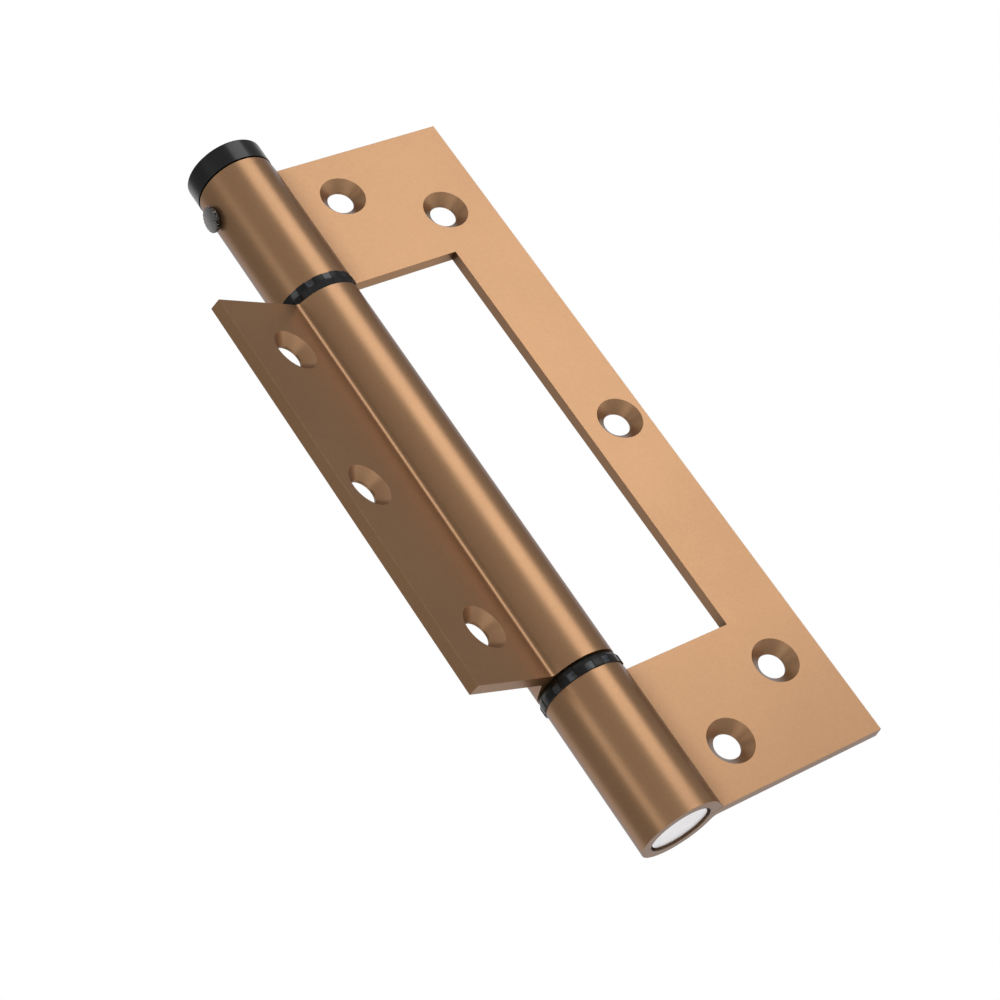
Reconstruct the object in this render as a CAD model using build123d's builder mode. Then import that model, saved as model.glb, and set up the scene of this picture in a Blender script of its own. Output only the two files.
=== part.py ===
from build123d import *
from math import acos, atan2, cos, degrees, hypot, radians, sin, sqrt
import os

# An interleaf spring hinge: a frame leaf and a door leaf, each rolled from one sheet, turning
# on nylon bushes round a barrel that hides a torsion spring.
# Millimetres. The hinge line is the Z axis, and the frame leaf's lower end is at Z = 0.
# Closed, both leaves run out along +X in one plane. At rest the door leaf stands open.

# Leaves
LEAF_HEIGHT = 150.0
SHEET = 2.4
FRAME_REACH = 45.1
DOOR_REACH = 28.9
DOOR_ANGLE = -152.8
NEST_GAP = 2.6

# Knuckles
KNUCKLE_OD = 15.6
KNUCKLE_WALL = 1.9
FRAME_KNUCKLE = 29.4
BEND_RADIUS = 1.2
SEAM_GAP = 0.1

# Screw holes: their reach from the hinge line, or their distance from the leaf's edge, end or middle
SCREW_HOLE = 5.2
COUNTERSINK = 9.0
COUNTERSINK_ANGLE = 90.0
FRAME_END_HOLE_REACH = 17.8
FRAME_END_HOLE_FROM_END = 9.8
FRAME_SIDE_HOLE_FROM_EDGE = 9.6
FRAME_SIDE_HOLE_FROM_END = 19.6
FRAME_MIDDLE_HOLE_FROM_EDGE = 5.6
DOOR_OUTER_HOLE_REACH = 17.2
DOOR_OUTER_HOLE_FROM_MIDDLE = 31.4
DOOR_MIDDLE_HOLE_REACH = 21.9

# Clearances
FIXED_GAP = 0.02
RUNNING_GAP = 0.06
AXIAL_PLAY = 0.1
SHOULDER_GAP = 0.3

# Bushes
FLANGE = 2.7
FLANGE_PROUD = 0.3
FLANGE_RIM = 1.6
FLANGE_TAPER = 0.7
SLEEVE_IN_FRAME = 12.0
SLEEVE_IN_DOOR = 8.0
BUSH_WALL = 1.4

# Bottom pivot
PIVOT_RECESS = 0.35
PIVOT_TIP = 6.0
PIVOT_TIP_LENGTH = 6.0
PIVOT_EDGE = 0.4

# Torsion spring, its round wire drawn with flat sides
WIRE = 2.0
WIRE_SIDES = 6
SPRING_GAP = 0.6
COIL_GAP = 0.4
LAST_TURN = 0.5
TANG = 1.6
TANG_TURN = 14.0
TANG_GAP = 0.1

# Spring hub, fixed in the door leaf's knuckle
HUB_LENGTH = 19.5
STEM_LENGTH = 7.0

# Tension cap
CAP_HEIGHT = 4.45
CAP_PROUD = 0.1
CAP_EDGE = 0.3
CAP_GAP = 0.3
SOCKET_FLATS = 5.0
SOCKET_DEPTH = 5.0
POCKETS = 4
POCKET_TURN = 30.0
POCKET_ROOT = 3.9
POCKET_HEIGHT = 4.6

# Lock pin
LOCK_DROP = 5.6
LOCK_PIN = 3.0
LOCK_TIP = 4.3
LOCK_HEAD = 5.0
LOCK_HEAD_HEIGHT = 1.0
LOCK_EDGE = 0.25

OUTER = KNUCKLE_OD / 2
BORE = OUTER - KNUCKLE_WALL
HALF = SHEET / 2
MIDDLE = LEAF_HEIGHT / 2
NOOK = DOOR_REACH + NEST_GAP
FIXED = BORE - FIXED_GAP
RUNNING = BORE - RUNNING_GAP
BUSH_BORE = BORE - BUSH_WALL
BUSH_START = FRAME_KNUCKLE - SLEEVE_IN_FRAME
FLANGE_TOP = FRAME_KNUCKLE + FLANGE
DOOR_BOTTOM = FLANGE_TOP + AXIAL_PLAY
DOOR_HEIGHT = LEAF_HEIGHT - 2 * DOOR_BOTTOM
BUSH_END = DOOR_BOTTOM + SLEEVE_IN_DOOR
HUB_BOTTOM = BUSH_END + SHOULDER_GAP
HUB_TOP = HUB_BOTTOM + HUB_LENGTH
COIL = BORE - SPRING_GAP - WIRE / 2
STEM = COIL - WIRE / 2 - SHOULDER_GAP
SPRING_BOTTOM = HUB_TOP + SHOULDER_GAP + WIRE / 2
SPRING_TOP = LEAF_HEIGHT - BUSH_END - SHOULDER_GAP - WIRE / 2
TURNS = int((SPRING_TOP - SPRING_BOTTOM) / (WIRE + COIL_GAP)) + LAST_TURN
PITCH = (SPRING_TOP - SPRING_BOTTOM) / TURNS
LOCK_HEIGHT = LEAF_HEIGHT - LOCK_DROP
LOCK_HOLE = LOCK_PIN / 2 + RUNNING_GAP


def polar(radius, angle):
    """The point at a radius and an angle in degrees round the hinge line."""
    return (radius * cos(radians(angle)), radius * sin(radians(angle)))


def corner_angle(side_a, side_b, opposite):
    """The angle in degrees between two sides of a triangle with three known lengths."""
    return degrees(acos((side_a**2 + side_b**2 - opposite**2) / (2 * side_a * side_b)))


def rolled_section(reach):
    """One sheet seen from its end: a flat leaf that bends into a knuckle rolled back onto it."""
    bend_reach = OUTER + BEND_RADIUS
    bend_height = HALF + BEND_RADIUS
    bend_start = sqrt(bend_reach**2 - bend_height**2)
    bend_angle = degrees(atan2(bend_height, bend_start))
    face_radius = BEND_RADIUS + SHEET
    inside = polar(BORE, bend_angle - corner_angle(BORE, bend_reach, face_radius))
    mouth = polar(BORE, bend_angle - corner_angle(BORE, bend_reach, face_radius + SEAM_GAP))
    # The roll's end runs straight off the round and lands on the leaf's face where the bend starts
    landing = (bend_start, -HALF - SEAM_GAP)
    round_end = degrees(atan2(landing[1], landing[0]) - acos(OUTER / hypot(*landing)))
    Line((reach, -HALF), (reach, HALF))
    Line((reach, HALF), (bend_start, HALF))
    TangentArc((bend_start, HALF), polar(OUTER, bend_angle), tangent=(-1, 0))
    ThreePointArc(polar(OUTER, bend_angle), polar(-OUTER, bend_angle), polar(OUTER, round_end))
    Line(polar(OUTER, round_end), landing)
    TangentArc(landing, mouth, tangent=(-1, 0))
    ThreePointArc(mouth, polar(-BORE, bend_angle), inside)
    TangentArc((bend_start, -HALF), inside, tangent=(-1, 0))
    Line((bend_start, -HALF), (reach, -HALF))


# The frame leaf: countersunk towards -Y, with a nook that the door leaf closes into
with BuildPart() as frame_leaf:
    with BuildSketch():
        with BuildLine():
            rolled_section(FRAME_REACH)
        make_face()
    extrude(amount=LEAF_HEIGHT)
    with BuildSketch(Plane.XZ.offset(-2 * OUTER)):
        with Locations((NOOK, MIDDLE)):
            Rectangle(
                NOOK + KNUCKLE_OD,
                LEAF_HEIGHT - 2 * FRAME_KNUCKLE,
                align=(Align.MAX, Align.CENTER),
            )
    extrude(amount=2 * KNUCKLE_OD, mode=Mode.SUBTRACT)
    with Locations(Plane.XZ.offset(HALF)):
        with Locations(
            (FRAME_END_HOLE_REACH, FRAME_END_HOLE_FROM_END),
            (FRAME_END_HOLE_REACH, LEAF_HEIGHT - FRAME_END_HOLE_FROM_END),
            (FRAME_REACH - FRAME_SIDE_HOLE_FROM_EDGE, FRAME_SIDE_HOLE_FROM_END),
            (FRAME_REACH - FRAME_SIDE_HOLE_FROM_EDGE, LEAF_HEIGHT - FRAME_SIDE_HOLE_FROM_END),
            (FRAME_REACH - FRAME_MIDDLE_HOLE_FROM_EDGE, MIDDLE),
        ):
            CounterSinkHole(SCREW_HOLE / 2, COUNTERSINK / 2, SHEET, COUNTERSINK_ANGLE)
    with BuildSketch(Plane.YZ):
        with Locations((0, LOCK_HEIGHT)):
            Circle(LOCK_HOLE)
    extrude(amount=-KNUCKLE_OD, mode=Mode.SUBTRACT)
frame_leaf.part.label = "frame_leaf"

# The door leaf: the same roll turned about the hinge line, countersunk on its other face
door_line = Vector(*polar(1, DOOR_ANGLE))
door_face = Vector(*polar(1, DOOR_ANGLE + 90))
with BuildPart() as door_leaf:
    with BuildSketch(Plane(origin=(0, 0, DOOR_BOTTOM), x_dir=door_line, z_dir=(0, 0, 1))):
        with BuildLine():
            rolled_section(DOOR_REACH)
        make_face()
    extrude(amount=DOOR_HEIGHT)
    face_plane = Plane(origin=door_face * HALF + Vector(0, 0, MIDDLE), x_dir=door_line, z_dir=door_face)
    with Locations(face_plane):
        with Locations(
            (DOOR_OUTER_HOLE_REACH, DOOR_OUTER_HOLE_FROM_MIDDLE),
            (DOOR_OUTER_HOLE_REACH, -DOOR_OUTER_HOLE_FROM_MIDDLE),
            (DOOR_MIDDLE_HOLE_REACH, 0),
        ):
            CounterSinkHole(SCREW_HOLE / 2, COUNTERSINK / 2, SHEET, COUNTERSINK_ANGLE)
door_leaf.part.label = "door_leaf"

# The bushes: a sleeve into each knuckle with a flange between the knuckles' ends
with BuildPart() as lower_bush:
    with BuildSketch(Plane.XZ):
        with BuildLine():
            Polyline(
                (BUSH_BORE, BUSH_START),
                (FIXED, BUSH_START),
                (FIXED, FRAME_KNUCKLE),
                (OUTER + FLANGE_PROUD, FRAME_KNUCKLE),
                (OUTER + FLANGE_PROUD, FRAME_KNUCKLE + FLANGE_RIM),
                (OUTER + FLANGE_PROUD - FLANGE_TAPER, FLANGE_TOP),
                (RUNNING, FLANGE_TOP),
                (RUNNING, BUSH_END),
                (BUSH_BORE, BUSH_END),
                close=True,
            )
        make_face()
    revolve(axis=Axis.Z)
lower_bush.part.label = "lower_bush"

with BuildPart() as upper_bush:
    mirror(lower_bush.part, about=Plane.XY.offset(MIDDLE))
upper_bush.part.label = "upper_bush"

# The bottom pivot: a plug in the lower knuckle, a spindle up the bush and a tip in the hub
with BuildPart() as bottom_pivot:
    with BuildSketch(Plane.XZ):
        with BuildLine():
            Polyline(
                (0, PIVOT_RECESS),
                (FIXED - PIVOT_EDGE, PIVOT_RECESS),
                (FIXED, PIVOT_RECESS + PIVOT_EDGE),
                (FIXED, BUSH_START),
                (BUSH_BORE - FIXED_GAP, BUSH_START),
                (BUSH_BORE - FIXED_GAP, BUSH_END),
                (PIVOT_TIP / 2, BUSH_END),
                (PIVOT_TIP / 2, BUSH_END + PIVOT_TIP_LENGTH),
                (0, BUSH_END + PIVOT_TIP_LENGTH),
                close=True,
            )
        make_face()
    revolve(axis=Axis.Z)
bottom_pivot.part.label = "bottom_pivot"

# The spring hub: turns with the door leaf, and its forked stem holds the spring's lower tang
with BuildPart() as door_hub:
    with BuildSketch(Plane.XY.offset(HUB_BOTTOM)):
        Circle(FIXED)
    extrude(amount=HUB_LENGTH)
    with BuildSketch(Plane.XY.offset(HUB_TOP)):
        Circle(STEM)
        Rectangle(KNUCKLE_OD, TANG + 2 * TANG_GAP, rotation=TANG_TURN, mode=Mode.SUBTRACT)
    extrude(amount=STEM_LENGTH)
    with BuildSketch(Plane.XY.offset(HUB_BOTTOM)):
        Circle(PIVOT_TIP / 2 + RUNNING_GAP)
    extrude(amount=PIVOT_TIP_LENGTH, mode=Mode.SUBTRACT)
door_hub.part.label = "door_hub"

# The torsion spring: one close wire coil with a straight tang across each stem
top_turn = 360 * TURNS - TANG_TURN
with BuildPart() as torsion_spring:
    with BuildLine() as coil:
        Helix(PITCH, PITCH * TURNS, COIL, center=(0, 0, SPRING_BOTTOM))
    with BuildSketch(Plane(origin=coil.line @ 0, z_dir=coil.line % 0)):
        RegularPolygon(WIRE / 2, WIRE_SIDES)
    sweep(path=coil.line, is_frenet=True)
    for turn in (TANG_TURN, top_turn):
        root = Vector(*polar(COIL, turn), SPRING_BOTTOM + PITCH * turn / 360)
        with BuildSketch(Plane(origin=root, z_dir=(-root.X, -root.Y, 0))):
            Circle(TANG / 2)
        extrude(amount=COIL + STEM)
torsion_spring.part.label = "torsion_spring"

# The tension cap: its hub fills the upper knuckle, and its neck runs down the upper bush
hub_end = LEAF_HEIGHT - BUSH_START + SHOULDER_GAP
neck_end = LEAF_HEIGHT - BUSH_END
cap_bottom = LEAF_HEIGHT + CAP_GAP
cap_top = cap_bottom + CAP_HEIGHT
with BuildPart() as tension_cap:
    with BuildSketch(Plane.XY.offset(cap_bottom)):
        Circle(OUTER + CAP_PROUD)
    extrude(amount=CAP_HEIGHT)
    fillet(tension_cap.edges().sort_by(Axis.Z)[-1], CAP_EDGE)
    with BuildSketch(Plane.XY.offset(hub_end)):
        Circle(RUNNING)
    extrude(amount=cap_bottom - hub_end)
    with BuildSketch(Plane.XY.offset(neck_end)):
        Circle(BUSH_BORE - RUNNING_GAP)
    extrude(amount=hub_end - neck_end)
    with BuildSketch(Plane.XY.offset(neck_end)):
        Circle(STEM)
        Rectangle(KNUCKLE_OD, TANG + 2 * TANG_GAP, rotation=top_turn, mode=Mode.SUBTRACT)
    extrude(amount=-STEM_LENGTH)
    with BuildSketch(Plane.XY.offset(cap_top)):
        RegularPolygon(SOCKET_FLATS / 2, 6, major_radius=False)
    extrude(amount=-SOCKET_DEPTH, mode=Mode.SUBTRACT)
    # Each pocket's last wall bears on the lock pin, and its first wall lets the cap turn on
    pocket_start = Vector(POCKET_ROOT, -LOCK_HOLE).rotate(Axis.Z, -POCKET_TURN)
    pocket_rim = Vector(KNUCKLE_OD, -LOCK_HOLE).rotate(Axis.Z, -POCKET_TURN)
    with BuildSketch(Plane.XY.offset(LOCK_HEIGHT)):
        with PolarLocations(0, POCKETS):
            Polygon(
                (POCKET_ROOT, LOCK_HOLE),
                (pocket_start.X, pocket_start.Y),
                (pocket_rim.X, pocket_rim.Y),
                (KNUCKLE_OD, LOCK_HOLE),
                align=None,
            )
    extrude(amount=POCKET_HEIGHT / 2, both=True, mode=Mode.SUBTRACT)
tension_cap.part.label = "tension_cap"

# The lock pin: through the upper knuckle's wall from -X into a pocket, with a round head
with BuildPart() as lock_pin:
    with BuildSketch(Plane.YZ.offset(-LOCK_TIP)):
        with Locations((0, LOCK_HEIGHT)):
            Circle(LOCK_PIN / 2)
    extrude(amount=LOCK_TIP - OUTER - SHOULDER_GAP)
    with BuildSketch(Plane.YZ.offset(-OUTER - SHOULDER_GAP)):
        with Locations((0, LOCK_HEIGHT)):
            Circle(LOCK_HEAD / 2)
    extrude(amount=-LOCK_HEAD_HEIGHT)
    ends = lock_pin.edges().filter_by(GeomType.CIRCLE).sort_by(Axis.X)
    chamfer([ends[0], ends[-1]], LOCK_EDGE)
lock_pin.part.label = "lock_pin"

os.makedirs("parts", exist_ok=True)
export_step(frame_leaf.part, "parts/frame_leaf.step")
export_step(door_leaf.part, "parts/door_leaf.step")
export_step(lower_bush.part, "parts/lower_bush.step")
export_step(upper_bush.part, "parts/upper_bush.step")
export_step(bottom_pivot.part, "parts/bottom_pivot.step")
export_step(door_hub.part, "parts/door_hub.step")
export_step(torsion_spring.part, "parts/torsion_spring.step")
export_step(tension_cap.part, "parts/tension_cap.step")
export_step(lock_pin.part, "parts/lock_pin.step")
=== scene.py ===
from math import cos, pi, radians, sin

import bmesh
import bpy
from mathutils import Matrix, Vector


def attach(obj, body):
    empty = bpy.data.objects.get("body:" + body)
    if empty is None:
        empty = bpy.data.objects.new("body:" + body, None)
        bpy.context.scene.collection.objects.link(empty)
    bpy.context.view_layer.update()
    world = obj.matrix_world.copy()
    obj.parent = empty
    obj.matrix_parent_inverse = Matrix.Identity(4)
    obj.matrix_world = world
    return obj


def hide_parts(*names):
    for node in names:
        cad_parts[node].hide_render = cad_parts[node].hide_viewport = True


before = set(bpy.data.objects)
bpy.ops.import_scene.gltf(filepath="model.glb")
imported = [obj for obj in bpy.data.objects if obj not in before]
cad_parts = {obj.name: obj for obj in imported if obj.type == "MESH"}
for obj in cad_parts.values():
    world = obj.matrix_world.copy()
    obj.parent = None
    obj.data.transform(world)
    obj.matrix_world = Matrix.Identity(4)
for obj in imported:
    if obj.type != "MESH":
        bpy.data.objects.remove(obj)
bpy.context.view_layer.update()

# A spring hinge. The hinge line is the Z axis with the tension cap at its top, the frame leaf's
# lower end is at Z = 0, and that leaf runs out along +X. The studio's sizes are in metres, and
# the object's own sizes and patterns are in millimetres, times MM
MM = 0.001

# Camera, below the hinge and left of it, at the photograph's angle
CAMERA_PLACE = Vector((-0.217997, -0.345560, -0.099047))
CAMERA_RIGHT = Vector((0.80355, -0.267603, -0.531692))
CAMERA_AHEAD = Vector((0.507299, 0.775152, 0.376547))
CAMERA_SENSOR = 36.0
CAMERA_LENS = 90.153
CAMERA_NEAR = 0.01
CAMERA_FAR = 20.0

# What the lamps are turned to
MIDDLE = Vector((0.012, 0.0, 0.0768))

# Studio sides, and how white each one is. The camera sees white all round, and only what metal
# mirrors shows the backdrop. A side fades in between two cosines of the angle from its middle
BACKDROP_AZIMUTH = 70
BACKDROP_SHARE = 0.8
BACKDROP_FADE = (0.36, 0.72)
WALL_AZIMUTH = -100
WALL_LEVEL = 0.40
WALL_FADE = (0.30, 0.55)
CEILING_LEVEL = 0.55
CEILING_FADE = (0.55, 0.85)
GAP_LEVEL = 0.25

# Floor, far enough below that the low camera stands above it. The camera sees it mostly white,
# with a faint shadow. Metal mirrors it as the lamps light it near the hinge, and white further out
FLOOR = -0.45
FLOOR_REACH = 6.0
FLOOR_GLOW = 0.75
FAR_GLOW = 0.88
DIM_WITHIN = 0.60
WHITE_BEYOND = 1.10

# Node settings that are used more than once
COLOURS = {"data_type": "RGBA"}
FADING = {"interpolation_type": "SMOOTHSTEP"}
ROUNDING = {"samples": 6}

# A noise stays mostly between these values, so a finish's range is spread over them
NOISE_LOW = 0.3
NOISE_HIGH = 0.7

# The object's driving sizes, in mm: the leaf's height, the frame leaf's knuckle, a knuckle's outer
# and inner radius, and the clearances in the barrel
LEAF_HEIGHT = 150.0
FRAME_KNUCKLE = 29.4
KNUCKLE_RADIUS = 7.8
KNUCKLE_BORE = 5.9
FIXED_GAP = 0.02
RUNNING_GAP = 0.06
AXIAL_PLAY = 0.1
SHOULDER_GAP = 0.3


def hex_colour(text):
    """An sRGB hex colour as the linear colour that Blender's sockets take."""
    values = [int(text[i : i + 2], 16) / 255 for i in (0, 2, 4)]
    return [v / 12.92 if v <= 0.04045 else ((v + 0.055) / 1.055) ** 2.4 for v in values] + [1.0]


def towards(azimuth, elevation=0):
    """The direction at an angle round the hinge line from +X, and at an angle above level."""
    a, e = radians(azimuth), radians(elevation)
    return Vector((cos(a) * cos(e), sin(a) * cos(e), sin(e)))


def output_of(source):
    """A socket as it is, or a node's first output that is in use."""
    if isinstance(source, bpy.types.Node):
        return next(output for output in source.outputs if output.enabled)
    return source


def add_node(tree, kind, settings=None, **links):
    """Adds a node with its settings, and gives each named input a value or a link.

    Settings of one word are a maths node's operation, and inputs i0, i1 and so on go by their place.
    """
    node = tree.nodes.new(kind)
    if isinstance(settings, str):
        settings = {"operation": settings}
    for name, value in (settings or {}).items():
        setattr(node, name, value)
    for name, value in links.items():
        place = name[1:]
        socket = node.inputs[int(place)] if place.isdigit() else node.inputs[name.replace("_", " ")]
        if isinstance(value, (bpy.types.Node, bpy.types.NodeSocket)):
            tree.links.new(output_of(value), socket)
        else:
            socket.default_value = value
    return node


def aim_camera():
    """Puts the camera where the photograph was taken from."""
    camera = bpy.data.objects.new("camera", bpy.data.cameras.new("camera"))
    bpy.context.scene.collection.objects.link(camera)
    ahead = CAMERA_AHEAD.normalized()
    up = CAMERA_RIGHT.cross(ahead).normalized()
    right = ahead.cross(up)
    turned = Matrix((right, up, -ahead)).transposed().to_4x4()
    camera.matrix_world = Matrix.Translation(CAMERA_PLACE) @ turned
    camera.data.sensor_width = CAMERA_SENSOR
    camera.data.lens = CAMERA_LENS
    camera.data.clip_start = CAMERA_NEAR
    camera.data.clip_end = CAMERA_FAR
    bpy.context.scene.camera = camera
    bpy.context.scene.view_settings.view_transform = "Standard"


def studio_surround():
    """The room: a white backdrop behind the hinge, a grey wall before it and a pale ceiling."""
    world = bpy.data.worlds.new("studio")
    bpy.context.scene.world = world
    world.use_nodes = True
    tree = world.node_tree
    tree.nodes.clear()
    rays = add_node(tree, "ShaderNodeLightPath")
    direction = add_node(tree, "ShaderNodeTexCoord").outputs["Generated"]
    behind = add_node(
        tree, "ShaderNodeVectorMath", "DOT_PRODUCT", i0=direction, i1=towards(BACKDROP_AZIMUTH)
    )
    before = add_node(tree, "ShaderNodeVectorMath", "DOT_PRODUCT", i0=direction, i1=towards(WALL_AZIMUTH))
    above = add_node(tree, "ShaderNodeSeparateXYZ", i0=direction).outputs["Z"]
    start, whole = BACKDROP_FADE
    backdrop = add_node(
        tree, "ShaderNodeMapRange", FADING, i0=behind, i1=start, i2=whole, i4=BACKDROP_SHARE
    )
    start, whole = WALL_FADE
    wall = add_node(
        tree, "ShaderNodeMapRange", FADING, i0=before, i1=start, i2=whole, i3=GAP_LEVEL, i4=WALL_LEVEL
    )
    start, whole = CEILING_FADE
    ceiling = add_node(tree, "ShaderNodeMapRange", FADING, i0=above, i1=start, i2=whole, i4=CEILING_LEVEL)
    level = add_node(tree, "ShaderNodeMath", "MAXIMUM", i0=wall, i1=ceiling)
    room = add_node(tree, "ShaderNodeBackground", Color=hex_colour("ffffff"), Strength=level)
    white = add_node(tree, "ShaderNodeBackground", Color=hex_colour("ffffff"), Strength=1.0)
    mirrored = add_node(tree, "ShaderNodeMath", "MULTIPLY", i0=rays.outputs["Is Glossy Ray"], i1=backdrop)
    direct = add_node(
        tree,
        "ShaderNodeMath",
        "MAXIMUM",
        i0=rays.outputs["Is Camera Ray"],
        i1=rays.outputs["Is Transmission Ray"],
    )
    seen = add_node(tree, "ShaderNodeMath", "MAXIMUM", i0=direct, i1=mirrored)
    mixed = add_node(tree, "ShaderNodeMixShader", i0=seen, i1=room, i2=white)
    add_node(tree, "ShaderNodeOutputWorld", Surface=mixed)


def softbox(name, azimuth, elevation, distance, width, height, power):
    """A soft lamp at an angle round the hinge, turned to face its middle."""
    light = bpy.data.lights.new(name, "AREA")
    light.shape = "RECTANGLE"
    light.size = width
    light.size_y = height
    light.energy = power
    lamp = bpy.data.objects.new(name, light)
    bpy.context.scene.collection.objects.link(lamp)
    out = towards(azimuth, elevation)
    lamp.location = MIDDLE + out * distance
    lamp.rotation_mode = "QUATERNION"
    lamp.rotation_quaternion = out.to_track_quat("Z", "Y")
    lamp.visible_camera = False


def pale_floor():
    """A wide plain floor that keeps the hinge's shadow."""
    mesh = bpy.data.meshes.new("floor")
    r = FLOOR_REACH
    corners = [(-r, -r, FLOOR), (r, -r, FLOOR), (r, r, FLOOR), (-r, r, FLOOR)]
    mesh.from_pydata(corners, [], [(0, 1, 2, 3)])
    floor = bpy.data.objects.new("floor", mesh)
    bpy.context.scene.collection.objects.link(floor)
    paint = bpy.data.materials.new("pale floor paint")
    paint.use_nodes = True
    tree = paint.node_tree
    tree.nodes.clear()
    rays = add_node(tree, "ShaderNodeLightPath")
    lit = add_node(tree, "ShaderNodeBsdfDiffuse", Color=hex_colour("f4f4f4"))
    glow = add_node(tree, "ShaderNodeEmission", Color=hex_colour("ffffff"), Strength=1.0)
    place = add_node(tree, "ShaderNodeTexCoord").outputs["Object"]
    away = add_node(tree, "ShaderNodeVectorMath", "LENGTH", i0=place)
    far = add_node(tree, "ShaderNodeMapRange", i0=away, i1=DIM_WITHIN, i2=WHITE_BEYOND, i4=FAR_GLOW)
    mirrored = add_node(tree, "ShaderNodeMath", "MULTIPLY", i0=rays.outputs["Is Glossy Ray"], i1=far)
    seen = add_node(tree, "ShaderNodeMath", "MULTIPLY", i0=rays.outputs["Is Camera Ray"], i1=FLOOR_GLOW)
    share = add_node(tree, "ShaderNodeMath", "MAXIMUM", i0=mirrored, i1=seen)
    mixed = add_node(tree, "ShaderNodeMixShader", i0=share, i1=lit, i2=glow)
    add_node(tree, "ShaderNodeOutputMaterial", Surface=mixed)
    mesh.materials.append(paint)


aim_camera()
studio_surround()
softbox("key", azimuth=-59, elevation=24, distance=1.6, width=1.10, height=0.84, power=5.6)
softbox("side", azimuth=-158, elevation=18, distance=1.6, width=0.50, height=0.60, power=1.1)
pale_floor()

# Bronze coating, in mm. It is partly lacquer, so it isn't wholly metallic. Its own grain is 0.05
# wide, and is drawn ten times as wide to show at all
COAT_GRAIN = 0.5
COAT_SPECK = 0.03
COAT_DRIFT = 20.0
COAT_METAL = 0.75
LEVEL_FACE_FADE = (0.8, 0.9)
LEVEL_FACE_SHARE = 0.8
COAT_RUB = 0.06
COAT_RUB_FADE = (0.97, 0.80)
COAT_RUB_SHARE = 0.10
# Painted shade, in mm: inside corners are drawn darker the more they are shut in within this reach, and
# the knuckles' inner wall is drawn darker near the hinge line
CORNER_SHADE_REACH = 5.0
CORNER_SHADE_FADE = (0.5, 0.97)
CORNER_SHADE_TONE = 0.2
BORE_WALL = KNUCKLE_BORE + 0.05
BORE_SHADE_FADE = 0.15
BORE_SHADE_TONE = 0.35

# Black nylon, in mm. Its index of refraction is 1.53: 1.4 suits its weak mirror in the photograph
NYLON_FLOW = 6.0
NYLON_GRAIN = 0.6
NYLON_EDGE = 0.15
NYLON_IOR = 1.4
NYLON_SKIN_ROUGHNESS = 0.12
# Painted glints on the bushes' notched rims: grey spots about this wide, faded in over this part of the
# noise
GLINT_PATCH = 4.0
GLINT_FADE = (0.46, 0.60)

# Bare steels, in mm. The tool's rings are 0.1 apart in the metal, drawn 0.6 apart, and the wire's
# own draw marks are 0.05 wide, drawn 0.4 wide
RING_STEP = 0.6
STEEL_CLOUD = 4.0
OIL_FILM = 3.0
WIRE_GRAIN = 0.4
PIN_SCRATCH = 0.7
PIN_FACE_FADE = (0.75, 0.95)
PIN_RUB = 0.15
PIN_RUB_FADE = (0.96, 0.82)


def new_material(name):
    """An empty material with a Principled shader wired to its output."""
    material = bpy.data.materials.new(name)
    material.use_nodes = True
    tree = material.node_tree
    tree.nodes.clear()
    shader = add_node(tree, "ShaderNodeBsdfPrincipled")
    add_node(tree, "ShaderNodeOutputMaterial", Surface=shader)
    place = add_node(tree, "ShaderNodeTexCoord").outputs["Object"]
    return material, tree, shader, place


def per_mm(size):
    """The texture scale at which one cell of a noise is so many millimetres wide."""
    return 1 / (size * MM)


def from_hinge_line(tree, place):
    """How far a place is from the hinge line."""
    flat = add_node(tree, "ShaderNodeVectorMath", "MULTIPLY", i0=place, i1=(1, 1, 0))
    return add_node(tree, "ShaderNodeVectorMath", "LENGTH", i0=flat)


def rubbed_edges(tree, coated, bare, reach, fade, share):
    """Mixes a bare colour in along the edges. Gives back the mix and the rounded edge."""
    start, whole = fade
    surface = add_node(tree, "ShaderNodeNewGeometry")
    edge = add_node(tree, "ShaderNodeBevel", ROUNDING, Radius=reach * MM)
    turned = add_node(tree, "ShaderNodeVectorMath", "DOT_PRODUCT", i0=edge, i1=surface.outputs["Normal"])
    rub = add_node(tree, "ShaderNodeMapRange", i0=turned, i1=start, i2=whole, i4=share)
    mixed = add_node(tree, "ShaderNodeMix", COLOURS, i0=rub, i6=coated, i7=hex_colour(bare))
    return mixed, edge


def wire_up(tree, shader, colour, cloud, shine, grain, strength, depth):
    """Gives a surface its colour, a roughness that drifts with a cloud, and its grain's fine bumps."""
    shiniest, dullest = shine
    polish = add_node(
        tree, "ShaderNodeMapRange", i0=cloud, i1=NOISE_LOW, i2=NOISE_HIGH, i3=shiniest, i4=dullest
    )
    bump = add_node(tree, "ShaderNodeBump", Strength=strength, Distance=depth * MM, Height=grain)
    for source, name in ((colour, "Base Color"), (polish, "Roughness"), (bump, "Normal")):
        tree.links.new(output_of(source), shader.inputs[name])
    return bump


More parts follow.
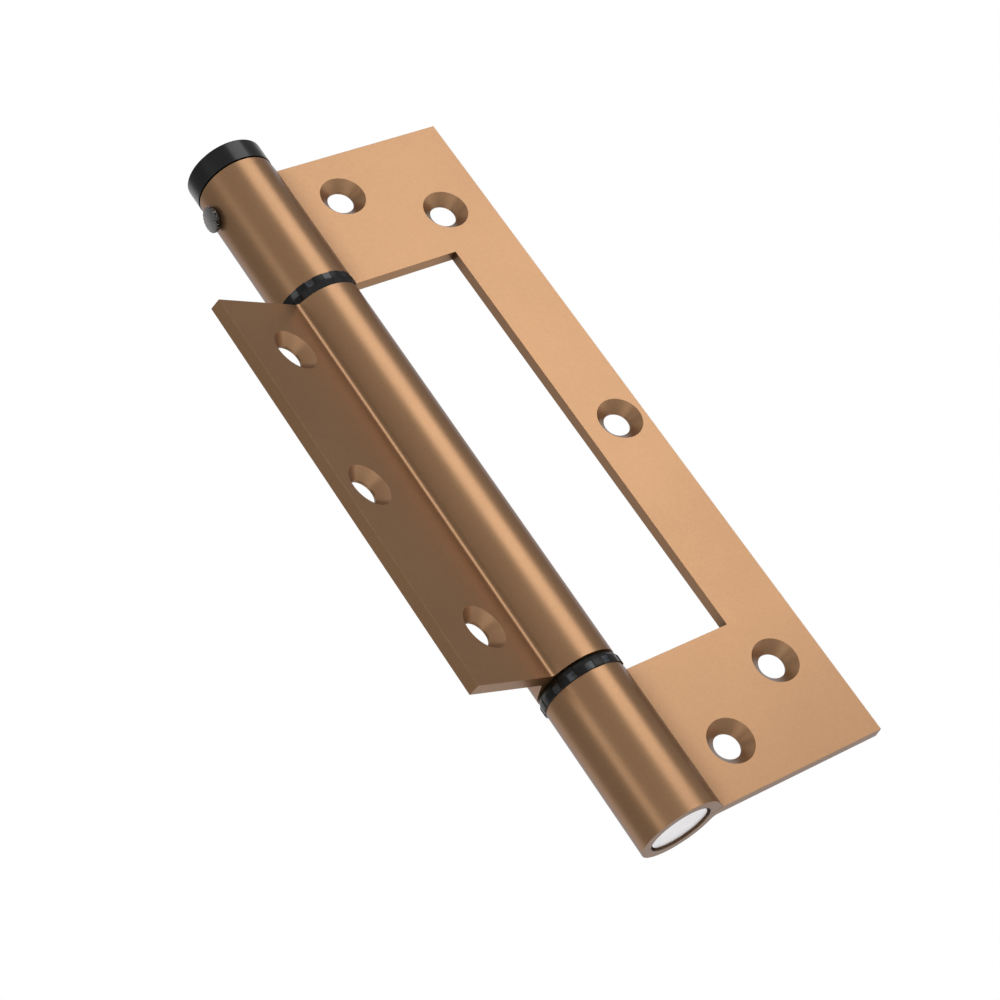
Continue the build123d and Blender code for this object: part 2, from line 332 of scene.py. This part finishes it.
def satin_bronze():
    """Satin bronze coating on rolled steel: an even warm brown with broad soft streaks.

    The tone drifts a little, the edges are rubbed slightly paler, and inside corners and the
    knuckles' inner wall get painted shade, drawn darker than the rest.
    """
    material, tree, shader, place = new_material("satin bronze coating")
    shader.inputs["Metallic"].default_value = COAT_METAL
    shader.inputs["Specular Tint"].default_value = hex_colour("c2d2e4")
    drift = add_node(tree, "ShaderNodeTexNoise", i0=place, Scale=per_mm(COAT_DRIFT), Detail=3.0)
    grain = add_node(tree, "ShaderNodeTexNoise", i0=place, Scale=per_mm(COAT_GRAIN), Detail=2.0)
    tone = add_node(
        tree, "ShaderNodeMix", COLOURS, i0=drift, i6=hex_colour("b58b66"), i7=hex_colour("b98f6a")
    )
    speck = add_node(
        tree,
        "ShaderNodeMapRange",
        i0=grain,
        i1=NOISE_LOW,
        i2=NOISE_HIGH,
        i3=1 - COAT_SPECK,
        i4=1 + COAT_SPECK,
    )
    coat = add_node(tree, "ShaderNodeVectorMath", "SCALE", i0=tone, Scale=speck)
    # Faces that point up or down, the leaves' and knuckles' ends among them, are a little browner and
    # darker than the rest
    surface = add_node(tree, "ShaderNodeNewGeometry")
    axes = add_node(tree, "ShaderNodeSeparateXYZ", i0=surface.outputs["True Normal"])
    upright = add_node(tree, "ShaderNodeMath", "ABSOLUTE", i0=axes.outputs["Z"])
    start, whole = LEVEL_FACE_FADE
    cut = add_node(tree, "ShaderNodeMapRange", i0=upright, i1=start, i2=whole, i4=LEVEL_FACE_SHARE)
    ends = add_node(tree, "ShaderNodeMix", COLOURS, i0=cut, i6=coat, i7=hex_colour("b1855a"))
    colour, edge = rubbed_edges(tree, ends, "d8b593", COAT_RUB, COAT_RUB_FADE, COAT_RUB_SHARE)
    # Painted shade: inside corners and the knuckles' inner wall are drawn darker, in place of the shade
    # that falls there
    corner = add_node(
        tree,
        "ShaderNodeAmbientOcclusion",
        {"samples": 6, "only_local": True},
        Distance=CORNER_SHADE_REACH * MM,
    )
    deep, clear = CORNER_SHADE_FADE
    corner_shade = add_node(
        tree, "ShaderNodeMapRange", i0=corner.outputs["AO"], i1=deep, i2=clear, i3=CORNER_SHADE_TONE, i4=1.0
    )
    bore_shade = add_node(
        tree,
        "ShaderNodeMapRange",
        i0=from_hinge_line(tree, place),
        i1=BORE_WALL * MM,
        i2=(BORE_WALL + BORE_SHADE_FADE) * MM,
        i3=BORE_SHADE_TONE,
        i4=1.0,
    )
    painted_shade = add_node(tree, "ShaderNodeMath", "MULTIPLY", i0=corner_shade, i1=bore_shade)
    shaded_colour = add_node(tree, "ShaderNodeVectorMath", "SCALE", i0=colour, Scale=painted_shade)
    bump = wire_up(tree, shader, shaded_colour, drift, (0.31, 0.35), grain, strength=0.06, depth=0.02)
    tree.links.new(edge.outputs[0], bump.inputs["Normal"])
    return material


def black_nylon(name, skin, shine):
    """Moulded nylon, near black: a faint flow pattern in tone and shine, over the mould's fine grain."""
    material, tree, shader, place = new_material(name)
    flow = add_node(
        tree, "ShaderNodeTexNoise", i0=place, Scale=per_mm(NYLON_FLOW), Detail=3.0, Distortion=0.6
    )
    tone = add_node(
        tree, "ShaderNodeMix", COLOURS, i0=flow, i6=hex_colour("060707"), i7=hex_colour("0d0e0e")
    )
    grain = add_node(tree, "ShaderNodeTexNoise", i0=place, Scale=per_mm(NYLON_GRAIN), Detail=2.0)
    edge = add_node(tree, "ShaderNodeBevel", ROUNDING, Radius=NYLON_EDGE * MM)
    bump = wire_up(tree, shader, tone, flow, shine, grain, strength=0.08, depth=0.01)
    tree.links.new(edge.outputs[0], bump.inputs["Normal"])
    shader.inputs["IOR"].default_value = NYLON_IOR
    shader.inputs["Coat Weight"].default_value = skin
    shader.inputs["Coat Roughness"].default_value = NYLON_SKIN_ROUGHNESS
    return material


def painted_glint_nylon():
    """Moulded nylon in the rims' notches: pale grey spots painted in as glints, between darker ones."""
    material, tree, shader, place = new_material("black nylon with painted glints")
    glint_noise = add_node(
        tree, "ShaderNodeTexNoise", i0=place, Scale=per_mm(GLINT_PATCH), Detail=5.0, Roughness=0.7
    )
    start, whole = GLINT_FADE
    # Painted glints: where the noise is high the nylon is drawn pale grey, as glints
    glint_share = add_node(tree, "ShaderNodeMapRange", i0=glint_noise, i1=start, i2=whole)
    tone = add_node(
        tree, "ShaderNodeMix", COLOURS, i0=glint_share, i6=hex_colour("131415"), i7=hex_colour("53585e")
    )
    wire_up(tree, shader, tone, glint_noise, (0.16, 0.34), glint_noise, strength=0.2, depth=0.02)
    return material


def turned_steel():
    """Bright steel from the lathe: fine rings round the hinge line over a faint cloudy tone."""
    material, tree, shader, place = new_material("turned bright steel")
    shader.inputs["Metallic"].default_value = 1.0
    turns = add_node(
        tree,
        "ShaderNodeMath",
        "MULTIPLY",
        i0=from_hinge_line(tree, place),
        i1=2 * pi * per_mm(RING_STEP),
    )
    rings = add_node(tree, "ShaderNodeMath", "SINE", i0=turns)
    cloud = add_node(tree, "ShaderNodeTexNoise", i0=place, Scale=per_mm(STEEL_CLOUD), Detail=3.0)
    tone = add_node(
        tree, "ShaderNodeMix", COLOURS, i0=cloud, i6=hex_colour("f4f1f3"), i7=hex_colour("fbf9fb")
    )
    wire_up(tree, shader, tone, cloud, (0.26, 0.34), rings, strength=0.15, depth=0.004)
    return material


def oiled_wire():
    """Drawn spring wire: dark steel with a film of oil that pools in brown patches."""
    material, tree, shader, place = new_material("oiled spring wire")
    shader.inputs["Metallic"].default_value = 1.0
    film = add_node(tree, "ShaderNodeTexNoise", i0=place, Scale=per_mm(OIL_FILM), Detail=4.0)
    tone = add_node(
        tree, "ShaderNodeMix", COLOURS, i0=film, i6=hex_colour("4e4a46"), i7=hex_colour("6c6a68")
    )
    drawn = add_node(tree, "ShaderNodeTexNoise", i0=place, Scale=per_mm(WIRE_GRAIN), Detail=2.0)
    wire_up(tree, shader, tone, film, (0.18, 0.36), drawn, strength=0.1, depth=0.01)
    return material


def blackened_steel():
    """Blackened steel pin whose head's face, the side that points along -X, is grey, and whose edges are
    rubbed bright.
    """
    material, tree, shader, place = new_material("blackened steel with a grey face")
    shader.inputs["Metallic"].default_value = 1.0
    surface = add_node(tree, "ShaderNodeNewGeometry")
    outward = add_node(
        tree, "ShaderNodeVectorMath", "DOT_PRODUCT", i0=surface.outputs["Normal"], i1=(-1, 0, 0)
    )
    scratch = add_node(tree, "ShaderNodeTexNoise", i0=place, Scale=per_mm(PIN_SCRATCH), Detail=4.0)
    start, whole = PIN_FACE_FADE
    face = add_node(tree, "ShaderNodeMapRange", i0=outward, i1=start, i2=whole)
    grey = add_node(
        tree, "ShaderNodeMix", COLOURS, i0=scratch, i6=hex_colour("7c7876"), i7=hex_colour("989593")
    )
    grey_faced = add_node(tree, "ShaderNodeMix", COLOURS, i0=face, i6=hex_colour("2b2a2a"), i7=grey)
    colour, edge = rubbed_edges(tree, grey_faced, "d4d1ce", PIN_RUB, PIN_RUB_FADE, 1.0)
    wire_up(tree, shader, colour, scratch, (0.26, 0.36), scratch, strength=0.12, depth=0.01)
    return material


# The cap shines more than the bushes, as from a more polished mould
bronze = satin_bronze()
bright = turned_steel()
polished_nylon = black_nylon("polished black nylon", skin=0.35, shine=(0.26, 0.34))
satin_nylon = black_nylon("satin black nylon", skin=0.0, shine=(0.32, 0.42))
glint_nylon = painted_glint_nylon()
oiled = oiled_wire()
blackened = blackened_steel()

# Nodes whose own shape is fine enough only get their finish
NODE_FINISHES = {
    "frame_leaf": bronze,
    "door_leaf": bronze,
    "bottom_pivot": bright,
    "door_hub": bright,
    "tension_cap": polished_nylon,
}
for node, material in NODE_FINISHES.items():
    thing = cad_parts[node]
    thing.data.materials.clear()
    thing.data.materials.append(material)

# An edge is sharp from so many degrees, and points nearer than this in mm are welded
SHARP_EDGE = 32
WELD = 0.001

# The bushes, with shallow notches round the rim of a tapered flange, whose faces carry painted
# glints. The rim is 0.01 less proud than the solid's, so that it stays inside its box. Each bush
# was pressed in at its own turn
BUSH_WALL = 1.4
SLEEVE_IN_FRAME = 12.0
SLEEVE_IN_DOOR = 8.0
RIM_PROUD = 0.29
RIM_HEIGHT = 1.6
TAPER_INSET = 0.4
FLANGE_HEIGHT = 2.7
BUSH_BORE = KNUCKLE_BORE - BUSH_WALL
BUSH_FIXED = KNUCKLE_BORE - FIXED_GAP
BUSH_RUNNING = KNUCKLE_BORE - RUNNING_GAP
BUSH_RIM = KNUCKLE_RADIUS + RIM_PROUD
BUSH_TAPER = KNUCKLE_RADIUS - TAPER_INSET
BUSH_START = FRAME_KNUCKLE - SLEEVE_IN_FRAME
RIM_TOP = FRAME_KNUCKLE + RIM_HEIGHT
BUSH_SHOULDER = FRAME_KNUCKLE + FLANGE_HEIGHT
BUSH_END = BUSH_SHOULDER + AXIAL_PLAY + SLEEVE_IN_DOOR
RIM_EDGE = 0.12
NOTCHES = 14
NOTCH_DEPTH = 0.12
LOWER_TURN = -9.1
UPPER_TURN = 1.2
# Each station is a share of a notch's turn, and whether it lies in the notch
NOTCH_STATIONS = (
    (0.0, 0), (0.09, 0), (0.18, 0), (0.27, 0), (0.30, 1), (0.40, 1), (0.50, 1),
    (0.60, 1), (0.70, 1), (0.73, 0), (0.82, 0), (0.91, 0), (1.0, 0),
)

# The lock pin, knurled round its head. Its tip, shoulder and top are so far from the hinge line,
# and it sits so far below the upper knuckle's top
PIN_RADIUS = 1.5
PIN_HEAD = 2.5
PIN_HEAD_HEIGHT = 1.0
PIN_EDGE = 0.2
PIN_DROP = 5.6
PIN_TIP = 4.3
PIN_SHOULDER = KNUCKLE_RADIUS + SHOULDER_GAP
PIN_TOP = PIN_SHOULDER + PIN_HEAD_HEIGHT
PIN_LEVEL = LEAF_HEIGHT - PIN_DROP
KNURLS = 20
KNURL_DEPTH = 0.12
KNURL_STATIONS = ((0.0, 0), (0.25, 0), (0.5, 0), (0.6, 1), (0.9, 1), (1.0, 0))

# The torsion spring between the door's hub and the cap's. Its wire comes across the lower stem,
# coils up and crosses the upper one
WIRE_RADIUS = 1.0
SPRING_GAP = 0.6
HUB_LENGTH = 19.5
HUB_TOP = BUSH_END + SHOULDER_GAP + HUB_LENGTH
COIL_RADIUS = KNUCKLE_BORE - SPRING_GAP - WIRE_RADIUS
COIL_BOTTOM = HUB_TOP + SHOULDER_GAP + WIRE_RADIUS
COIL_TOP = LEAF_HEIGHT - BUSH_END - SHOULDER_GAP - WIRE_RADIUS
COIL_TURNS = 19.5
TANG_TURN = 14.0
TANG_RADIUS = 0.8
TANG_REACH = 3.0
TANG_STEPS = 5
STEPS_PER_TURN = 12
WIRE_SIDES = 12
STEP_PIECES = 4


def new_piece(name, mesh, body, node):
    """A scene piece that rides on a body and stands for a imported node."""
    piece = bpy.data.objects.new(name, mesh)
    bpy.context.scene.collection.objects.link(piece)
    mesh.set_sharp_from_angle(angle=radians(SHARP_EDGE))
    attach(piece, body)
    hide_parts(node)


def node_group(name, inputs):
    """An empty geometry tree with a geometry input, the named inputs and a geometry output."""
    group = bpy.data.node_groups.new(name, "GeometryNodeTree")
    group.interface.new_socket("Geometry", in_out="INPUT", socket_type="NodeSocketGeometry")
    for label, kind in inputs.items():
        group.interface.new_socket(label, in_out="INPUT", socket_type=kind)
    group.interface.new_socket("Geometry", in_out="OUTPUT", socket_type="NodeSocketGeometry")
    return group, add_node(group, "NodeGroupInput"), add_node(group, "NodeGroupOutput")


def grown(name, mesh, group, values):
    """Runs a geometry tree with its inputs set, and gives back the plain mesh that it makes."""
    holder = bpy.data.objects.new(name, mesh)
    bpy.context.scene.collection.objects.link(holder)
    modifier = holder.modifiers.new("grow", "NODES")
    modifier.node_group = group
    for item in group.interface.items_tree:
        if item.in_out == "INPUT" and item.name in values:
            modifier[item.identifier] = values[item.name]
    ready = holder.evaluated_get(bpy.context.evaluated_depsgraph_get())
    result = bpy.data.meshes.new_from_object(ready)
    result.name = name
    bpy.data.objects.remove(holder)
    return result


def slices_round_the_axis():
    """Repeats an open slice round the hinge line and welds it, its notches in their own finish."""
    tree, given, made = node_group(
        "slices round the axis",
        {"Count": "NodeSocketInt", "Face": "NodeSocketMaterial", "Notch": "NodeSocketMaterial"},
    )
    count = given.outputs["Count"]
    line = add_node(tree, "GeometryNodeMeshLine", Count=count, Offset=(0, 0, 0))
    index = add_node(tree, "GeometryNodeInputIndex")
    step = add_node(tree, "ShaderNodeMath", "DIVIDE", i0=2 * pi, i1=count)
    turn = add_node(tree, "ShaderNodeMath", "MULTIPLY", i0=index, i1=step)
    spin = add_node(tree, "ShaderNodeCombineXYZ", Z=turn)
    copies = add_node(
        tree,
        "GeometryNodeInstanceOnPoints",
        Points=line,
        Instance=given.outputs["Geometry"],
        Rotation=spin,
    )
    solid = add_node(tree, "GeometryNodeRealizeInstances", Geometry=copies)
    welded = add_node(tree, "GeometryNodeMergeByDistance", Geometry=solid, Distance=WELD * MM)
    faced = add_node(tree, "GeometryNodeSetMaterial", Geometry=welded, Material=given.outputs["Face"])
    marked = add_node(tree, "GeometryNodeInputNamedAttribute", {"data_type": "INT"}, Name="notch")
    floored = add_node(
        tree,
        "GeometryNodeSetMaterial",
        Geometry=faced,
        Selection=marked,
        Material=given.outputs["Notch"],
    )
    tree.links.new(floored.outputs[0], made.inputs[0])
    return tree


def wire_in_a_coil():
    """Winds a round wire in a coil whose two ends cross the hinge line as slimmer, straight tangs.

    The points of the path are counted from one end: the tang's steps, the coil's and the other
    tang's. nearest is how many of them lie between a point and the end that is nearer.
    """
    tree, given, made = node_group(
        "coil with crossing tangs",
        {
            "Coil steps": "NodeSocketInt",
            "Tang steps": "NodeSocketInt",
            "First angle": "NodeSocketFloat",
            "Last angle": "NodeSocketFloat",
            "Coil radius": "NodeSocketFloat",
            "Tang reach": "NodeSocketFloat",
            "Bottom": "NodeSocketFloat",
            "Pitch": "NodeSocketFloat",
            "Wire radius": "NodeSocketFloat",
            "Tang radius": "NodeSocketFloat",
            "Wire sides": "NodeSocketInt",
            "Wire": "NodeSocketMaterial",
        },
    )
    size = given.outputs
    tangs = size["Tang steps"]
    both = add_node(tree, "ShaderNodeMath", "MULTIPLY", i0=tangs, i1=2.0)
    last = add_node(tree, "ShaderNodeMath", "ADD", i0=both, i1=size["Coil steps"])
    count = add_node(tree, "ShaderNodeMath", "ADD", i0=last, i1=1.0)
    line = add_node(tree, "GeometryNodeMeshLine", Count=count, Offset=(0, 0, MM))
    path = add_node(tree, "GeometryNodeMeshToCurve", Mesh=line)
    index = add_node(tree, "GeometryNodeInputIndex")
    left = add_node(tree, "ShaderNodeMath", "SUBTRACT", i0=last, i1=index)
    nearest = add_node(tree, "ShaderNodeMath", "MINIMUM", i0=index, i1=left)
    past = add_node(tree, "ShaderNodeMath", "SUBTRACT", i0=index, i1=tangs)
    angle = add_node(
        tree,
        "ShaderNodeMapRange",
        i0=past,
        i2=size["Coil steps"],
        i3=size["First angle"],
        i4=size["Last angle"],
    )
    far_side = add_node(tree, "ShaderNodeMath", "MULTIPLY", i0=size["Tang reach"], i1=-1.0)
    reach = add_node(tree, "ShaderNodeMapRange", i0=nearest, i2=tangs, i3=far_side, i4=size["Coil radius"])
    east = add_node(tree, "ShaderNodeMath", "COSINE", i0=angle)
    north = add_node(tree, "ShaderNodeMath", "SINE", i0=angle)
    x = add_node(tree, "ShaderNodeMath", "MULTIPLY", i0=east, i1=reach)
    y = add_node(tree, "ShaderNodeMath", "MULTIPLY", i0=north, i1=reach)
    turns = add_node(tree, "ShaderNodeMath", "DIVIDE", i0=angle, i1=2 * pi)
    z = add_node(tree, "ShaderNodeMath", "MULTIPLY_ADD", i0=turns, i1=size["Pitch"], i2=size["Bottom"])
    point = add_node(tree, "ShaderNodeCombineXYZ", X=x, Y=y, Z=z)
    wound = add_node(tree, "GeometryNodeSetPosition", Geometry=path, Position=point)
    inner = add_node(tree, "ShaderNodeMath", "SUBTRACT", i0=tangs, i1=1.0)
    outer = add_node(tree, "ShaderNodeMath", "ADD", i0=tangs, i1=1.0)
    thick = add_node(
        tree,
        "ShaderNodeMapRange",
        i0=nearest,
        i1=inner,
        i2=outer,
        i3=size["Tang radius"],
        i4=size["Wire radius"],
    )
    sized = add_node(tree, "GeometryNodeSetCurveRadius", Curve=wound, Radius=thick)
    smooth = add_node(tree, "GeometryNodeCurveSplineType", {"spline_type": "CATMULL_ROM"}, Curve=sized)
    fine = add_node(tree, "GeometryNodeSetSplineResolution", Geometry=smooth, Resolution=STEP_PIECES)
    section = add_node(tree, "GeometryNodeCurvePrimitiveCircle", Resolution=size["Wire sides"], Radius=1.0)
    width = add_node(tree, "GeometryNodeInputRadius")
    tube = add_node(
        tree, "GeometryNodeCurveToMesh", Curve=fine, Profile_Curve=section, Scale=width, Fill_Caps=True
    )
    rounded = add_node(tree, "GeometryNodeSetShadeSmooth", Geometry=tube)
    solid = add_node(tree, "GeometryNodeRealizeInstances", Geometry=rounded)
    faced = add_node(tree, "GeometryNodeSetMaterial", Geometry=solid, Material=size["Wire"])
    tree.links.new(faced.outputs[0], made.inputs[0])
    return tree


def one_slice(name, profile, stations, count, turn):
    """One notch's share of a turned piece, as an open mesh round the hinge line."""
    outline = profile(0)
    work = bmesh.new()
    notch = work.faces.layers.int.new("notch")
    sections = []
    for share, cut in stations:
        angle = 2 * pi * share / count + radians(turn)
        points = [(r * cos(angle) * MM, r * sin(angle) * MM, z * MM) for r, z, marked in profile(cut)]
        sections.append([work.verts.new(point) for point in points])
    for index in range(len(sections) - 1):
        here, there = sections[index], sections[index + 1]
        in_notch = stations[index][1] and stations[index + 1][1]
        for k, (r, z, marked) in enumerate(outline):
            after = (k + 1) % len(outline)
            on_axis = r == 0 and outline[after][0] == 0
            if not on_axis:
                face = work.faces.new((here[k], there[k], there[after], here[after]))
                face[notch] = int(in_notch and marked)
                face.smooth = True
    bmesh.ops.remove_doubles(work, verts=work.verts, dist=WELD * MM)
    mesh = bpy.data.meshes.new(name)
    work.to_mesh(mesh)
    work.free()
    return mesh


def lower_profile(cut):
    """The lower bush's half section: radius, height, and whether the wall after it may carry painted
    glints.
    """
    rim = BUSH_RIM - NOTCH_DEPTH * cut
    return [
        (BUSH_BORE, BUSH_START, 0),
        (BUSH_FIXED, BUSH_START, 0),
        (BUSH_FIXED, FRAME_KNUCKLE, 0),
        (BUSH_TAPER, FRAME_KNUCKLE, 0),
        (rim - RIM_EDGE, FRAME_KNUCKLE, 0),
        (rim, FRAME_KNUCKLE + RIM_EDGE, 1),
        (rim, RIM_TOP - RIM_EDGE, 0),
        (rim - RIM_EDGE, RIM_TOP + RIM_EDGE, 0),
        (BUSH_TAPER, BUSH_SHOULDER, 0),
        (BUSH_RUNNING, BUSH_SHOULDER, 0),
        (BUSH_RUNNING, BUSH_END, 0),
        (BUSH_BORE, BUSH_END, 0),
    ]


def upper_profile(cut):
    """The upper bush's half section: the lower one turned over."""
    turned_over = [(r, LEAF_HEIGHT - z) for r, z, marked in lower_profile(cut)]
    marks = [marked for r, z, marked in lower_profile(cut)]
    # The wall after a point is the one before it once the order is turned round
    return [point + (marks[k - 1],) for k, point in reversed(list(enumerate(turned_over)))]


def pin_profile(cut):
    """The lock pin's half section, from its tip to the face of its head."""
    rim = PIN_HEAD - KNURL_DEPTH * cut
    return [
        (0, PIN_TIP, 0),
        (PIN_RADIUS - PIN_EDGE, PIN_TIP, 0),
        (PIN_RADIUS, PIN_TIP + PIN_EDGE, 0),
        (PIN_RADIUS, PIN_SHOULDER, 0),
        (rim - PIN_EDGE, PIN_SHOULDER, 0),
        (rim, PIN_SHOULDER + PIN_EDGE, 1),
        (rim, PIN_TOP - PIN_EDGE, 0),
        (rim - PIN_EDGE / 2, PIN_TOP - PIN_EDGE / 4, 0),
        (PIN_HEAD - KNURL_DEPTH - PIN_EDGE, PIN_TOP, 0),
        (0, PIN_TOP, 0),
    ]


# Bushes
round_tree = slices_round_the_axis()
for node, profile, turn in (
    ("lower_bush", lower_profile, LOWER_TURN),
    ("upper_bush", upper_profile, UPPER_TURN),
):
    share = one_slice(node + "_slice", profile, NOTCH_STATIONS, NOTCHES, turn)
    # The notched rim faces take the nylon with painted glints
    finishes = {"Count": NOTCHES, "Face": satin_nylon, "Notch": glint_nylon}
    mesh = grown(node + "_moulded", share, round_tree, finishes)
    new_piece(node + "_moulded", mesh, "frame", node)

# Lock pin, made upright on the hinge line and then laid along -X at its level
share = one_slice("lock_pin_slice", pin_profile, KNURL_STATIONS, KNURLS, 0)
finishes = {"Count": KNURLS, "Face": blackened, "Notch": blackened}
mesh = grown("lock_pin_turned", share, round_tree, finishes)
mesh.transform(Matrix.Translation((0, 0, PIN_LEVEL * MM)) @ Matrix.Rotation(radians(-90), 4, "Y"))
new_piece("lock_pin_turned", mesh, "lock", "lock_pin")

# Torsion spring
first, last = TANG_TURN, COIL_TURNS * 360 - TANG_TURN
mesh = grown(
    "torsion_spring_wound",
    bpy.data.meshes.new("torsion_spring_path"),
    wire_in_a_coil(),
    {
        "Coil steps": round(STEPS_PER_TURN * (last - first) / 360),
        "Tang steps": TANG_STEPS,
        "First angle": radians(first),
        "Last angle": radians(last),
        "Coil radius": COIL_RADIUS * MM,
        "Tang reach": TANG_REACH * MM,
        "Bottom": COIL_BOTTOM * MM,
        "Pitch": (COIL_TOP - COIL_BOTTOM) / COIL_TURNS * MM,
        "Wire radius": WIRE_RADIUS * MM,
        "Tang radius": TANG_RADIUS * MM,
        "Wire sides": WIRE_SIDES,
        "Wire": oiled,
    },
)
new_piece("torsion_spring_wound", mesh, "tension", "torsion_spring")
